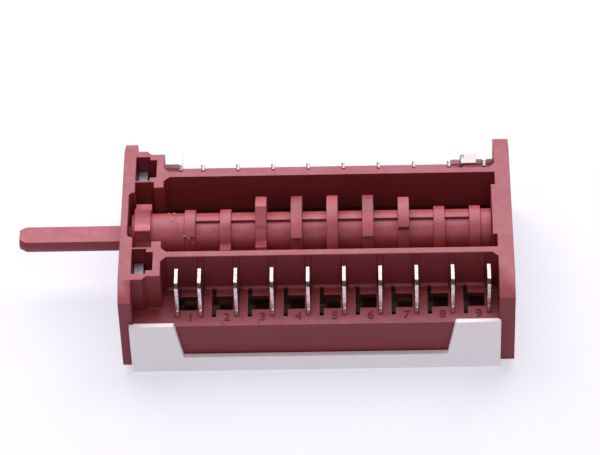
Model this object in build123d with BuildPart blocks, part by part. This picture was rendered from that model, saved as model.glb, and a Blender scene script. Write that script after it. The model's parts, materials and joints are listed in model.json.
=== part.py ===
"""Cam-operated oven selector switch with a D-spindle, two rows of blade terminals and a clip-on base.

Frame: X runs along the spindle towards the rear, Z is up, and the origin is on the spindle's axis
at the outer face of the front plate, midway between the two fixing holes. Millimetres and degrees.
"""
from build123d import *
import math
import os

os.makedirs("parts", exist_ok=True)

# ---------------------------------------------------------------- driving sizes
# levels: one cam, and one contact on each side of it, per level
levels = 9
pitch = 8.42
first_tab = 18.9          # first level's tab, from the front face
tail_room = 2.3           # last tab to the rear plate

# camshaft
spindle_radius = 3.0
spindle_reach = 24.6
spindle_tip = 1.6         # length of the tip's chamfer
flat_height = 1.6         # the D's flat, above the axis
flat_stop = 0.4           # the flat ends this far outside the plate
collar_radius = 5.6
collar_length = 0.8
wheel_radius = 8.1
wheel_length = 3.8
notches = 8
notch_radius = 5.0
notch_span = 43.0         # angle of one notch on the wheel's rim
first_notch = 9.6         # its middle, from +Y towards +Z
barrel_radius = 5.65
core_radius = 4.9
rib_radius = 5.6
rib_span = (30.0, 91.3)   # the long rib on the core, from +Y towards +Z
ring_radius = 6.4
lobe_radius = 9.3
lobe_root = 0.2           # a lobe's flanks start this far inside the ring's rim
cam_width = 2.65
cam_offset = 2.7          # cam's middle, in front of its tab
stub_radius = 3.5
stub_length = 1.8
end_play = 0.1            # barrel to the rear bearing's boss
wheel_shift = 0.4         # wheel sits this far in front of its space's middle

# housing
front_plate = 3.0
rear_plate = 3.7
plate_lip = 0.2           # plates stand proud of the side walls
corner_width = 5.0
corner_drop = 2.8
wall_height = 8.0         # plates' and chamber walls' top, above the axis
wall = 1.7
cam_room = 2.9            # lobe to chamber wall
channel = 12.0            # width of the terminal channel beside the chamber wall
ledge_drop = 3.0          # ledge's top, below the axis
ledge = 1.6
side_wall = 1.6
wall_foot_drop = 5.2      # chamber wall's lower edge, below the axis
body_drop = 16.1          # housing's lower edge, below the axis
rib_gap = 0.2             # partitions stop this far above the base
partition = 1.3
window_length = 4.3       # along Y
window_gap = 0.45         # window to tab slot
rear_boss_half = 8.15
rear_boss = 1.0
groove_width = 1.6
groove_depth = 0.4
foot_fillet = 0.6
recess_half = 7.2         # half width of the collar's recess in the front plate
recess_corner = 0.6
recess_room = 0.6         # collar to the recess's lower edge
recess_play = 0.55        # collar to the recess's floor

# nut pockets
hole_spacing = 30.2
hole_radius = 2.2
nut_size = 7.0
nut_thickness = 2.2
nut_bore = 1.65
nut_bevel = 0.3
nut_gap = 0.3             # nut to the front plate
pocket_width = 7.85
pocket_length = 3.3
neck_width = 5.7          # narrower second part of the pocket
neck_length = 1.6
pocket_web = 0.55
pocket_skin = 2.0
skin_lead = 0.3           # the outer skin narrows this far behind the pocket
skin_slope = 1.0
web_lap = 0.5             # the pocket's inner web ends this far before the bulkhead
bulkhead = 1.9
shaft_gap = 3.1           # barrel to the bulkhead's stubs
pocket_drop = 0.25        # nut to the pocket's floor
gusset = 1.3

# terminals
tab_width = 6.4
tab_thickness = 0.8
tab_top = 7.3             # above the axis
tip_chamfer = (0.9, 1.2)
tab_inset = 0.4           # tab's outer edge to its shoulder's outer edge
slot_width = 0.9
slot_length = 8.7
slot_margin = 0.4         # slot to the chamber wall
slot_play = 0.1           # each end of a terminal in its slot
feed_offset = 5.4         # second slot of each level, in front of its tab
inner_shoulder = 3.3      # shoulder heights above the ledge
outer_shoulder = 1.9
flange_height = 1.2       # flange that stops the terminal under the ledge
foot_drop = 3.3           # ledge's underside to the top of the foot
foot_length = 3.9         # foot along Y
foot_reach = 4.6          # foot along X, from the tab's middle
foot_bend = 1.2           # outer bend radius
foot_edge = 0.4           # foot to the housing's side wall
ear_top = 5.4             # bent-over lug on the rear bus bar's last tab
ear_inner = 17.9
ear_width = 3.1
ear_reach = 3.6

# contact blades and bus bars
blade_thickness = 0.3
blade_width = 3.2
follower = 5.0            # bump's place, from the shaft's middle plane
bump_height = 2.2
bump_base = 1.7
bump_bend = 0.5           # bend radius on the blade's underside
blade_tip = 2.6
cam_touch = 0.05          # bump to cam at rest
contact_line = 14.1
button_radius = 1.1
button_height = 0.8
contact_gap = 0.1         # between the buttons of a closed contact
bar_width = 3.2
tip_rise = 0.25           # height of the moving button's bevelled tip
tip_taper = 65.0          # its slope, from the button's axis
button_bevel = 0.2
round_sides = 10          # sides of the small rivets, buttons and their holes
rivet_radius = 0.55
rivet_clearance = 0.05
rivet_head = 1.1
rivet_rise = 0.5
bar_front_reach = 2.0     # bus bar's front end, in front of its first lug
bar_rear_gap = 0.6
bar_room = 0.7            # bus bar to the housing's partitions
bar_rib = 1.2             # ribs of the base that carry the bus bars
blade_inset = 0.3         # blade's end, and its bend, from the foot's edges

# detent spring
spring_thickness = 0.5
spring_width = 3.5
spring_foot = 3.0
spring_reach = 9.4
spring_drop = 5.5         # height of the arch
nose_radius = 2.0

# base cover
cover_wall = 1.35
cover_gap = 0.1
cover_floor = 1.8
cover_lap = 0.8           # overlap on the front plate's edge
cover_lap_rear = 0.4
strip_height = 3.7        # low middle of the cover's sides, above the housing's lower edge
block_height = 14.5       # raised ends of the cover's sides
block_length = 10.5
block_slope = 1.9
cover_edge = 0.4
cover_round = 1.2
cradle_gap = 0.1          # cradle to the sides of the housing's slot
cradle_drop = 2.2         # cradle's top, below the axis
post_length = 3.0         # posts under the spring's feet, along X
post_lip = 0.8
barb_length = 6.0
barb_height = 2.0
barb_depth = 0.6
barb_edge = 0.5           # upright part of the barb's edge
barb_inset = 5.0          # barb to the cover's end
barb_drop = 7.0           # barb's catching face, below the axis
barb_gap = 0.15
running = 0.05

# lobes of each cam: (start, end, lead-in, lead-out) in degrees, from +Y towards +Z
cam_lobes = [
    [(206, 272, 6, 6)],
    [(153, 266, 3, 8)],
    [(20, 85, 6, 40), (150, 200, 3, 6)],
    [(10, 138, 6, 2)],
    [(0, 252, 6, 6)],
    [(20, 137, 6, 2), (288, 328, 6, 6)],
    [(65, 124, 3, 2), (214, 326, 6, 6)],
    [(266, 330, 6, 6)],
    [(286, 345, 6, 6)],
]
dip_radius = 5.4          # the first cam's ring dips to this between two angles
dip_span = (133.6, 198.0)

# ---------------------------------------------------------------- places worked out from the sizes
last_tab = first_tab + (levels - 1) * pitch
rear_inner = last_tab + tail_room
tabs = [first_tab + i * pitch for i in range(levels)]
cam_middles = [x - cam_offset for x in tabs]
chamber_half = lobe_radius + cam_room
wall_outer = chamber_half + wall
side_half = wall_outer + channel
side_inner = side_half - side_wall
plate_half = side_half + plate_lip
ledge_under = -ledge_drop - ledge
partition_foot = -body_drop + rib_gap
slot_inner = wall_outer + slot_margin
slot_middle = slot_inner + slot_length / 2
tab_inner = slot_inner + slot_length - slot_play - tab_inset - tab_width
foot_top = ledge_under - foot_drop
hole_line = hole_spacing / 2
pocket_inner = hole_line - pocket_width / 2
pocket_outer = hole_line + pocket_width / 2
pocket_floor = -nut_size / 2 - pocket_drop
bulkhead_front = front_plate + pocket_length + neck_length
bulkhead_rear = bulkhead_front + bulkhead
stub_end = barrel_radius + shaft_gap
wheel_front = front_plate + (bulkhead_front - front_plate - wheel_length) / 2 - wheel_shift
recess_floor = front_plate - collar_length - recess_play
recess_bottom = -collar_radius - recess_room
root_radius = ring_radius - lobe_root
notch_middle = (
    wheel_radius * math.cos(math.radians(notch_span / 2))
    + math.sqrt(notch_radius**2 - (wheel_radius * math.sin(math.radians(notch_span / 2))) ** 2)
)
journal_end = rear_inner - rear_boss - end_play
cover_front = front_plate - cover_lap
cover_rear = rear_inner + cover_lap_rear
cover_inner = side_half + cover_gap
cover_half = cover_inner + cover_wall
cover_base = -body_drop - cover_floor
foot_outer = side_inner - foot_edge
foot_inner = foot_outer - foot_length
foot_middle = (foot_inner + foot_outer) / 2
foot_bottom = foot_top - tab_thickness
blade_bend = foot_inner - blade_inset
bump_skin = bump_bend + blade_thickness
bump_corner = bump_bend / math.cos(math.atan2(bump_height, bump_base))


def blade_slope(cam_radius):
    """Rise of the blade per millimetre towards the shaft when its bump touches this radius."""
    nose = -math.sqrt((cam_radius + bump_skin + cam_touch) ** 2 - follower**2)
    return (nose + bump_corner - bump_height - foot_top) / (blade_bend - follower)


def underside(place, cam_radius):
    """Height of the blade's underside at a place between its bend and its tip."""
    return foot_top + (blade_bend - place) * blade_slope(cam_radius)


def lobe_at(cam, angle):
    """Whether one of a cam's lobes stands at this angle."""
    return any((angle - start) % 360 < end - start for start, end, _, _ in cam_lobes[cam])


def polar(radius, angle):
    """Point at an angle from +Y towards +Z, in a plane across the shaft."""
    return (radius * math.cos(math.radians(angle)), radius * math.sin(math.radians(angle)))


def across(x, side):
    """Plane across the shaft whose first axis points outwards on one side of it."""
    return Plane(origin=(x, 0, 0), x_dir=(0, side, 0), z_dir=(side, 0, 0))


press_angle = math.degrees(math.acos(follower / (lobe_radius + bump_skin + cam_touch)))
bar_top = underside(contact_line, lobe_radius) - 2 * button_height - contact_gap
bar_bottom = bar_top - tab_thickness
feeds = [x - feed_offset for x in tabs]
bar_front = feeds[0] - bar_front_reach
bar_rear = rear_inner - rear_boss - bar_rear_gap
bar_inner = contact_line - bar_width / 2
bar_outer = contact_line + bar_width / 2
spring_middle = wheel_front + wheel_length / 2
nose_angle = first_notch + 360 - 2 * 360 / notches
nose_place, nose_level = polar(notch_middle - notch_radius + cam_touch + nose_radius, nose_angle)
spring_bend = nose_radius - spring_thickness
flank_foot = spring_reach - spring_foot
spring_apex = nose_level + spring_bend / math.cos(math.atan2(spring_drop, flank_foot))
spring_base = spring_apex - spring_drop

# ---------------------------------------------------------------- camshaft
with BuildPart() as camshaft:
    # spindle, collar, barrel, core, journal and rear stub, turned about the axis
    with BuildSketch(Plane.XZ):
        with BuildLine():
            Polyline(
                (-spindle_reach, 0),
                (-spindle_reach, spindle_radius - spindle_tip / 2),
                (-spindle_reach + spindle_tip, spindle_radius),
                (wheel_front - collar_length, spindle_radius),
                (wheel_front - collar_length, collar_radius),
                (wheel_front, collar_radius),
                (wheel_front, barrel_radius),
                (cam_middles[0], barrel_radius),
                (cam_middles[0], core_radius),
                (cam_middles[-1], core_radius),
                (cam_middles[-1], barrel_radius),
                (journal_end, barrel_radius),
                (journal_end, stub_radius),
                (journal_end + stub_length, stub_radius),
                (journal_end + stub_length, 0),
                close=True,
            )
        make_face()
    revolve(axis=Axis.X)
    # long rib on the core
    with BuildSketch(Plane.YZ.offset(cam_middles[0])):
        with BuildLine():
            Line((0, 0), polar(rib_radius, rib_span[0]))
            ThreePointArc(
                polar(rib_radius, rib_span[0]),
                polar(rib_radius, sum(rib_span) / 2),
                polar(rib_radius, rib_span[1]),
            )
            Line(polar(rib_radius, rib_span[1]), (0, 0))
        make_face()
    extrude(amount=cam_middles[-1] - cam_middles[0])
    # detent wheel
    with BuildSketch(Plane.YZ.offset(wheel_front)):
        Circle(wheel_radius)
        with PolarLocations(notch_middle, notches, start_angle=first_notch):
            Circle(notch_radius, mode=Mode.SUBTRACT)
    extrude(amount=wheel_length)
    # cams
    for middle, lobes in zip(cam_middles, cam_lobes):
        with BuildSketch(Plane.YZ.offset(middle - cam_width / 2)):
            Circle(ring_radius)
            # a lobe is an arc at the lobe's radius with straight flanks down to the ring
            for start, end, lead_in, lead_out in lobes:
                with BuildLine():
                    Line((0, 0), polar(root_radius, start - lead_in))
                    Line(polar(root_radius, start - lead_in), polar(lobe_radius, start))
                    ThreePointArc(
                        polar(lobe_radius, start),
                        polar(lobe_radius, (start + end) / 2),
                        polar(lobe_radius, end),
                    )
                    Line(polar(lobe_radius, end), polar(root_radius, end + lead_out))
                    Line(polar(root_radius, end + lead_out), (0, 0))
                make_face()
        extrude(amount=cam_width)
    # the first cam's dip
    with BuildSketch(Plane.YZ.offset(cam_middles[0] - cam_width / 2)):
        with BuildLine():
            Line(polar(dip_radius, dip_span[0]), polar(lobe_radius, dip_span[0]))
            ThreePointArc(
                polar(lobe_radius, dip_span[0]),
                polar(lobe_radius, sum(dip_span) / 2),
                polar(lobe_radius, dip_span[1]),
            )
            Line(polar(lobe_radius, dip_span[1]), polar(dip_radius, dip_span[1]))
            ThreePointArc(
                polar(dip_radius, dip_span[1]),
                polar(dip_radius, sum(dip_span) / 2),
                polar(dip_radius, dip_span[0]),
            )
        make_face()
    extrude(amount=cam_width, mode=Mode.SUBTRACT)
    # the spindle's flat
    with BuildSketch(Plane.YZ.offset(-flat_stop)):
        with Locations((0, flat_height)):
            Rectangle(
                2 * spindle_radius,
                spindle_radius,
                align=(Align.CENTER, Align.MIN),
            )
    extrude(amount=flat_stop - spindle_reach, mode=Mode.SUBTRACT)
camshaft.part.label = "camshaft"
export_step(camshaft.part, "parts/camshaft.step")

# ---------------------------------------------------------------- housing
with BuildPart() as housing:
    # front half first: it is mirrored about the shaft's middle plane below
    for start, thickness in ((0, front_plate), (rear_inner, rear_plate)):
        with BuildSketch(Plane.YZ.offset(start)):
            Polygon(
                (0, -body_drop),
                (0, wall_height),
                (-plate_half + corner_width, wall_height),
                (-plate_half, wall_height - corner_drop),
                (-plate_half, -body_drop),
                align=None,
            )
        extrude(amount=thickness)
    # chamber wall, ledge and side wall in one section
    with BuildSketch(Plane.YZ.offset(bulkhead_front)):
        Polygon(
            (-chamber_half, -wall_foot_drop),
            (-chamber_half, wall_height),
            (-wall_outer, wall_height),
            (-wall_outer, foot_fillet - ledge_drop),
            (-wall_outer - foot_fillet, -ledge_drop),
            (-side_half, -ledge_drop),
            (-side_half, -body_drop),
            (-side_inner, -body_drop),
            (-side_inner, ledge_under),
            (-wall_outer, ledge_under),
            (-wall_outer, -wall_foot_drop),
            align=None,
        )
    extrude(amount=rear_inner - bulkhead_front)
    # ledge and side wall beside the nut pocket
    with BuildSketch(Plane.YZ.offset(front_plate)):
        Polygon(
            (-pocket_inner, -ledge_drop),
            (-side_half, -ledge_drop),
            (-side_half, -body_drop),
            (-side_inner, -body_drop),
            (-side_inner, ledge_under),
            (-pocket_inner, ledge_under),
            align=None,
        )
    extrude(amount=bulkhead_front - front_plate)
    # nut pocket's walls, the bulkhead with its stub, and the gussets to the chamber wall
    pocket_base = pocket_floor - ledge
    skin_inner = pocket_inner - pocket_web
    skin_outer = pocket_outer + pocket_skin
    neck_outer = hole_line + neck_width / 2 + pocket_skin
    with BuildSketch(Plane.XY.offset(pocket_base)):
        Polygon(
            (front_plate, -skin_inner),
            (bulkhead_front - web_lap, -skin_inner),
            (bulkhead_front - web_lap, -stub_end),
            (bulkhead_rear, -stub_end),
            (bulkhead_rear, -chamber_half + gusset),
            (bulkhead_rear + gusset, -chamber_half),
            (bulkhead_rear + gusset, -wall_outer),
            (bulkhead_rear, -wall_outer - gusset),
            (bulkhead_rear, -neck_outer),
            (front_plate + pocket_length + skin_lead, -neck_outer),
            (front_plate + pocket_length + skin_lead - skin_slope, -skin_outer),
            (front_plate, -skin_outer),
            align=None,
        )
    extrude(amount=wall_height - pocket_base)
    # bulkhead and partitions below the ledge
    with BuildSketch(Plane.XY.offset(partition_foot)):
        with Locations(((bulkhead_front + bulkhead_rear) / 2, -(stub_end + side_inner) / 2)):
            Rectangle(bulkhead, side_inner - stub_end)
        clear_of_bar = contact_line + bar_width / 2 + bar_room
        for x in tabs[:-1]:
            with Locations((x + (pitch - feed_offset) / 2, -(clear_of_bar + side_inner) / 2)):
                Rectangle(partition, side_inner - clear_of_bar)
    extrude(amount=ledge_under - partition_foot)
    # gussets where the chamber wall meets the rear plate
    with BuildSketch(Plane.XY.offset(-ledge_drop)):
        Polygon(
            (rear_inner - gusset, -wall_outer),
            (rear_inner, -wall_outer),
            (rear_inner, -wall_outer - gusset),
            align=None,
        )
    extrude(amount=wall_height + ledge_drop)
    # bearing boss on the rear plate
    with BuildSketch(Plane.YZ.offset(rear_inner - rear_boss)):
        Polygon(
            (0, -body_drop),
            (0, wall_height),
            (-rear_boss_half, wall_height),
            (-rear_boss_half, -body_drop),
            align=None,
        )
    extrude(amount=rear_boss)
    # nut pocket and its narrower second part
    for length, width in (
        (pocket_length, pocket_width),
        (pocket_length + neck_length, neck_width),
    ):
        with BuildSketch(Plane.XY.offset(pocket_floor)):
            with Locations((front_plate, -hole_line)):
                Rectangle(length, width, align=(Align.MIN, Align.CENTER))
        extrude(amount=wall_height - pocket_floor, mode=Mode.SUBTRACT)
    # fixing hole
    with BuildSketch(Plane.YZ):
        with Locations((-hole_line, 0)):
            Circle(hole_radius)
    extrude(amount=front_plate, mode=Mode.SUBTRACT)
    # slots for both terminals of each level, and the window between them
    window_rear = -slot_width / 2 - window_gap
    with BuildSketch(Plane.XY.offset(ledge_under)):
        for x in tabs:
            with Locations((x, -slot_middle), (x - feed_offset, -slot_middle)):
                Rectangle(slot_width, slot_length)
            with Locations((x + (window_rear - feed_offset) / 2, -slot_middle)):
                Rectangle(window_rear + feed_offset, window_length)
    extrude(amount=ledge + foot_fillet, mode=Mode.SUBTRACT)
    # grooves behind the tabs
    with BuildSketch(Plane.XY.offset(-ledge_drop)):
        with Locations(*[(x, -wall_outer) for x in tabs]):
            Rectangle(groove_width, 2 * groove_depth)
    extrude(amount=ledge_drop + tab_top, mode=Mode.SUBTRACT)
    # barbs that the base cover clips over
    barb_top = -barb_drop
    for x in (cover_front + barb_inset, cover_rear - barb_inset - barb_length):
        with BuildSketch(Plane.YZ.offset(x)):
            Polygon(
                (-side_half, barb_top),
                (-side_half - barb_depth, barb_top),
                (-side_half - barb_depth, barb_top - barb_edge),
                (-side_half, barb_top - barb_height),
                align=None,
            )
        extrude(amount=barb_length)
    mirror(about=Plane.XZ)
    # collar's recess in the front plate, and the spindle's bearing
    with BuildSketch(Plane.XY.offset(recess_bottom)):
        Polygon(
            (recess_floor, -recess_half + recess_corner),
            (recess_floor, recess_half - recess_corner),
            (recess_floor + recess_corner, recess_half),
            (front_plate, recess_half),
            (front_plate, -recess_half),
            (recess_floor + recess_corner, -recess_half),
            align=None,
        )
    extrude(amount=wall_height - recess_bottom, mode=Mode.SUBTRACT)
    with BuildSketch(Plane.YZ):
        Circle(spindle_radius + running)
    extrude(amount=recess_floor, mode=Mode.SUBTRACT)
    # rear bearing: round above the axis, open below it for fitting the shaft
    with BuildSketch(Plane.YZ.offset(rear_inner - rear_boss)):
        Circle(stub_radius + running)
        Rectangle(
            2 * (stub_radius + running),
            body_drop,
            align=(Align.CENTER, Align.MAX),
        )
    extrude(amount=stub_length, mode=Mode.SUBTRACT)
housing.part.label = "housing"
export_step(housing.part, "parts/housing.step")

# ---------------------------------------------------------------- square nuts in their pockets
with BuildPart() as screw_nuts:
    for side in (-1, 1):
        with BuildSketch(Plane.YZ.offset(front_plate + nut_gap)):
            with Locations((side * hole_line, 0)):
                Rectangle(nut_size, nut_size)
                Circle(nut_bore, mode=Mode.SUBTRACT)
        extrude(amount=nut_thickness)
    chamfer(screw_nuts.edges().filter_by(GeomType.CIRCLE), length=nut_bevel)
screw_nuts.part.label = "screw_nuts"
export_step(screw_nuts.part, "parts/screw_nuts.step")

# ---------------------------------------------------------------- outlines across the shaft
tab_outer = tab_inner + tab_width
base_inner = slot_inner + slot_play
base_outer = slot_inner + slot_length - slot_play
inner_top = inner_shoulder - ledge_drop
outer_top = outer_shoulder - ledge_drop
flange_foot = ledge_under - flange_height

# base of a terminal: shoulders above the ledge, and the flange under it
base_outline = [
    (tab_outer, outer_top),
    (base_outer, outer_top),
    (base_outer, ledge_under),
    (foot_outer, ledge_under),
    (foot_outer, flange_foot),
    (base_inner, flange_foot),
    (base_inner, outer_top),
    (tab_inner, inner_top),
]
# the same with the push-on tab above it
tab_outline = base_outline + [
    (tab_inner, tab_top - tip_chamfer[1]),
    (tab_inner + tip_chamfer[0], tab_top),
    (tab_outer - tip_chamfer[0], tab_top),
    (tab_outer, tab_top - tip_chamfer[1]),
]

# ---------------------------------------------------------------- contacts on both sides
for side_name, side in (("front", -1), ("rear", 1)):
    # terminals with their folded feet
    for level, x in enumerate(tabs, 1):
        with BuildPart() as terminal:
            with BuildSketch(across(x - tab_thickness / 2, side)):
                Polygon(*tab_outline, align=None)
            extrude(amount=side * tab_thickness)
            with BuildSketch(Plane.XZ.offset(-side * foot_inner)):
                with BuildLine():
                    FilletPolyline(
                        (x + tab_thickness / 2, flange_foot),
                        (x + tab_thickness / 2, foot_bottom),
                        (x - foot_reach, foot_bottom),
                        radius=foot_bend,
                    )
                    offset(amount=tab_thickness, side=Side.RIGHT)
                make_face()
            extrude(amount=-side * foot_length)
            with BuildSketch(Plane.XY.offset(foot_bottom)):
                with Locations((x - cam_offset, side * foot_middle)):
                    RegularPolygon(rivet_radius + rivet_clearance, round_sides)
            extrude(amount=tab_thickness, mode=Mode.SUBTRACT)
        terminal.part.label = f"terminal_{side_name}_{level}"
        export_step(terminal.part, f"parts/terminal_{side_name}_{level}.step")

    # spring blades: each lies where its cam holds it
    for level, x in enumerate(cam_middles, 1):
        held = lobe_at(level - 1, 180 + press_angle if side < 0 else 360 - press_angle)
        radius = lobe_radius if held else ring_radius
        with BuildPart() as blade:
            with BuildSketch(across(x - blade_width / 2, side)):
                with BuildLine():
                    FilletPolyline(
                        (foot_outer - blade_inset, foot_top),
                        (blade_bend, foot_top),
                        (follower + bump_base, underside(follower + bump_base, radius)),
                        (follower, underside(follower, radius) + bump_height),
                        (follower - bump_base, underside(follower - bump_base, radius)),
                        (blade_tip, underside(blade_tip, radius)),
                        radius=bump_bend,
                    )
                    offset(amount=blade_thickness, side=Side.RIGHT)
                make_face()
            extrude(amount=side * blade_width)
            with BuildSketch(Plane.XY.offset(foot_top)):
                with Locations((x, side * foot_middle)):
                    RegularPolygon(rivet_radius + rivet_clearance, round_sides)
            extrude(amount=blade_thickness, mode=Mode.SUBTRACT)
        blade.part.label = f"blade_{side_name}_{level}"
        export_step(blade.part, f"parts/blade_{side_name}_{level}.step")
        print("blade", side_name, level, "pressed" if held else "up")

    # rivets through the blades and the terminals' feet
    with BuildPart() as blade_rivets:
        for height, length, radius in (
            (foot_bottom - rivet_rise, rivet_rise, rivet_head),
            (foot_bottom, tab_thickness + blade_thickness, rivet_radius),
            (foot_top + blade_thickness, rivet_rise, rivet_head),
        ):
            with BuildSketch(Plane.XY.offset(height)):
                with Locations(*[(x, side * foot_middle) for x in cam_middles]):
                    RegularPolygon(radius, round_sides)
            extrude(amount=length)
    blade_rivets.part.label = f"blade_rivets_{side_name}"
    export_step(blade_rivets.part, f"parts/blade_rivets_{side_name}.step")

    # buttons on the blades' undersides, with bevelled tips
    with BuildPart() as blade_buttons:
        for cam, x in enumerate(cam_middles):
            held = lobe_at(cam, 180 + press_angle if side < 0 else 360 - press_angle)
            radius = lobe_radius if held else ring_radius
            down = Vector(0, -side * blade_slope(radius), -1)
            seat = Plane((x, side * contact_line, underside(contact_line, radius)), (1, 0, 0), down)
            with BuildSketch(seat):
                RegularPolygon(button_radius, round_sides)
            extrude(amount=button_height - tip_rise)
            with BuildSketch(seat.offset(button_height - tip_rise)):
                RegularPolygon(button_radius, round_sides)
            extrude(amount=tip_rise, taper=tip_taper)
    blade_buttons.part.label = f"blade_buttons_{side_name}"
    export_step(blade_buttons.part, f"parts/blade_buttons_{side_name}.step")

    # bus bar with its lug through the first level's second slot
    with BuildPart() as bus_bar:
        with BuildSketch(Plane.XY.offset(bar_bottom)):
            with Locations(((bar_front + bar_rear) / 2, side * contact_line)):
                Rectangle(bar_rear - bar_front, bar_width)
        extrude(amount=tab_thickness)
        lugs = [(feeds[0], tab_outline)]
        if side > 0:
            lugs.append((feeds[-1], base_outline))
        for x, outline in lugs:
            with BuildSketch(across(x - tab_thickness / 2, side)):
                Polygon(*outline, align=None)
                Polygon(
                    (bar_inner, bar_bottom),
                    (bar_outer, bar_bottom),
                    (bar_outer, flange_foot),
                    (bar_inner, flange_foot),
                    align=None,
                )
            extrude(amount=side * tab_thickness)
        if side > 0:
            # the last lug is bent over towards the rear
            with BuildSketch(Plane.XZ.offset(-side * ear_inner)):
                with BuildLine():
                    FilletPolyline(
                        (feeds[-1] - tab_thickness / 2, outer_top),
                        (feeds[-1] - tab_thickness / 2, ear_top),
                        (feeds[-1] + ear_reach, ear_top),
                        radius=foot_bend,
                    )
                    offset(amount=tab_thickness, side=Side.RIGHT)
                make_face()
            extrude(amount=-side * ear_width)
    bus_bar.part.label = f"bus_bar_{side_name}"
    export_step(bus_bar.part, f"parts/bus_bar_{side_name}.step")

    # fixed buttons on the bus bar
    with BuildPart() as bus_buttons:
        with BuildSketch(Plane.XY.offset(bar_top)):
            with Locations(*[(x, side * contact_line) for x in cam_middles]):
                RegularPolygon(button_radius, round_sides)
        extrude(amount=button_height)
        chamfer(bus_buttons.edges().group_by(Axis.Z)[-1], length=button_bevel)
    bus_buttons.part.label = f"bus_buttons_{side_name}"
    export_step(bus_buttons.part, f"parts/bus_buttons_{side_name}.step")

# ---------------------------------------------------------------- detent spring under the wheel
with BuildPart() as detent_spring:
    with BuildSketch(Plane.YZ.offset(spring_middle - spring_width / 2)):
        with BuildLine():
            FilletPolyline(
                (nose_place - spring_reach, spring_base),
                (nose_place - flank_foot, spring_base),
                (nose_place, spring_apex),
                (nose_place + flank_foot, spring_base),
                (nose_place + spring_reach, spring_base),
                radius=spring_bend,
            )
            offset(amount=spring_thickness, side=Side.LEFT)
        make_face()
    extrude(amount=spring_width)
detent_spring.part.label = "detent_spring"
export_step(detent_spring.part, "parts/detent_spring.step")

# ---------------------------------------------------------------- base cover
cover_middle = (cover_front + cover_rear) / 2
block_top = block_height - body_drop
strip_top = strip_height - body_drop
with BuildPart() as base_cover:
    with BuildSketch(Plane.XY.offset(cover_base)):
        with Locations((cover_middle, 0)):
            Rectangle(cover_rear - cover_front, 2 * cover_half)
    extrude(amount=cover_floor)
    for side in (-1, 1):
        with BuildSketch(Plane.XZ.offset(-side * cover_inner)):
            Polygon(
                (cover_front, cover_base),
                (cover_front, block_top),
                (cover_front + block_length, block_top),
                (cover_front + block_length + block_slope, strip_top),
                (cover_rear - block_length - block_slope, strip_top),
                (cover_rear - block_length, block_top),
                (cover_rear, block_top),
                (cover_rear, cover_base),
                align=None,
            )
        extrude(amount=-side * cover_wall)
    long_edges = base_cover.edges().filter_by(Axis.X).group_by(Axis.Z)
    fillet(long_edges[0], radius=cover_round)
    outer_tops = base_cover.edges().filter_by(Axis.X).filter_by(
        lambda e: abs(e.center().Z - block_top) < 0.01 and abs(e.center().Y) > cover_half - 0.01
    )
    fillet(outer_tops, radius=cover_edge)
    # room for the plates, which stand proud of the housing's side walls
    with BuildSketch(Plane.XY.offset(-body_drop)):
        for start, length in ((cover_front, cover_lap), (rear_inner, cover_lap_rear)):
            with Locations((start + length / 2, 0)):
                Rectangle(length + 2 * cover_gap, 2 * (plate_half + cover_gap))
    extrude(amount=block_height, mode=Mode.SUBTRACT)
    # catches for the housing's barbs
    for side in (-1, 1):
        for start in (cover_front + barb_inset, cover_rear - barb_inset - barb_length):
            with BuildSketch(Plane.XY.offset(-barb_drop - barb_height - cover_gap)):
                with Locations((start + barb_length / 2, side * cover_inner)):
                    Rectangle(
                        barb_length + 2 * cover_gap,
                        2 * (barb_depth - cover_gap + barb_gap),
                    )
            extrude(amount=barb_height + 2 * cover_gap, mode=Mode.SUBTRACT)
    # ribs under the bus bars
    with BuildSketch(Plane.XY.offset(-body_drop)):
        for side in (-1, 1):
            with Locations(*[(x, side * contact_line) for x in tabs]):
                Rectangle(bar_rib, bar_width - 2 * cover_gap)
    extrude(amount=bar_bottom + body_drop)
    # posts under the detent spring's feet, with lips outside them
    for side in (-1, 1):
        post_middle = nose_place + side * (spring_reach - spring_foot / 2 + post_lip / 2)
        lip_middle = nose_place + side * (spring_reach + cover_gap + post_lip / 2)
        with BuildSketch(Plane.XY.offset(-body_drop)):
            with Locations((spring_middle, post_middle)):
                Rectangle(post_length, spring_foot + post_lip + 2 * cover_gap)
        extrude(amount=spring_base + body_drop)
        with BuildSketch(Plane.XY.offset(-body_drop)):
            with Locations((spring_middle, lip_middle)):
                Rectangle(post_length, post_lip)
        extrude(amount=spring_base + body_drop + 2 * spring_thickness)
    # cradle that closes the rear bearing from below
    cradle_front = rear_inner - rear_boss + cradle_gap
    with BuildSketch(Plane.YZ.offset(cradle_front)):
        with Locations((0, -body_drop)):
            Rectangle(
                2 * (stub_radius + running - cradle_gap),
                body_drop - cradle_drop,
                align=(Align.CENTER, Align.MIN),
            )
        Circle(stub_radius + running, mode=Mode.SUBTRACT)
    extrude(amount=cover_rear - cradle_front)
base_cover.part.label = "base_cover"
export_step(base_cover.part, "parts/base_cover.step")

for name, piece in (("housing", housing), ("camshaft", camshaft), ("base_cover", base_cover)):
    print(name, "solids", len(piece.part.solids()), "volume", round(piece.part.volume, 1))
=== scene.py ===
"""Looks of the oven selector switch: moulded red housing and cam drum, cream base, tinned contacts.

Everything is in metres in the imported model's frame: X along the spindle, Z up, origin at the front
plate's outer face. Sizes named here are in millimetres, and MM turns them into metres.
"""
import json
import math

import bmesh
import bpy
from mathutils import Matrix, Vector
from mathutils.bvhtree import BVHTree

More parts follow.
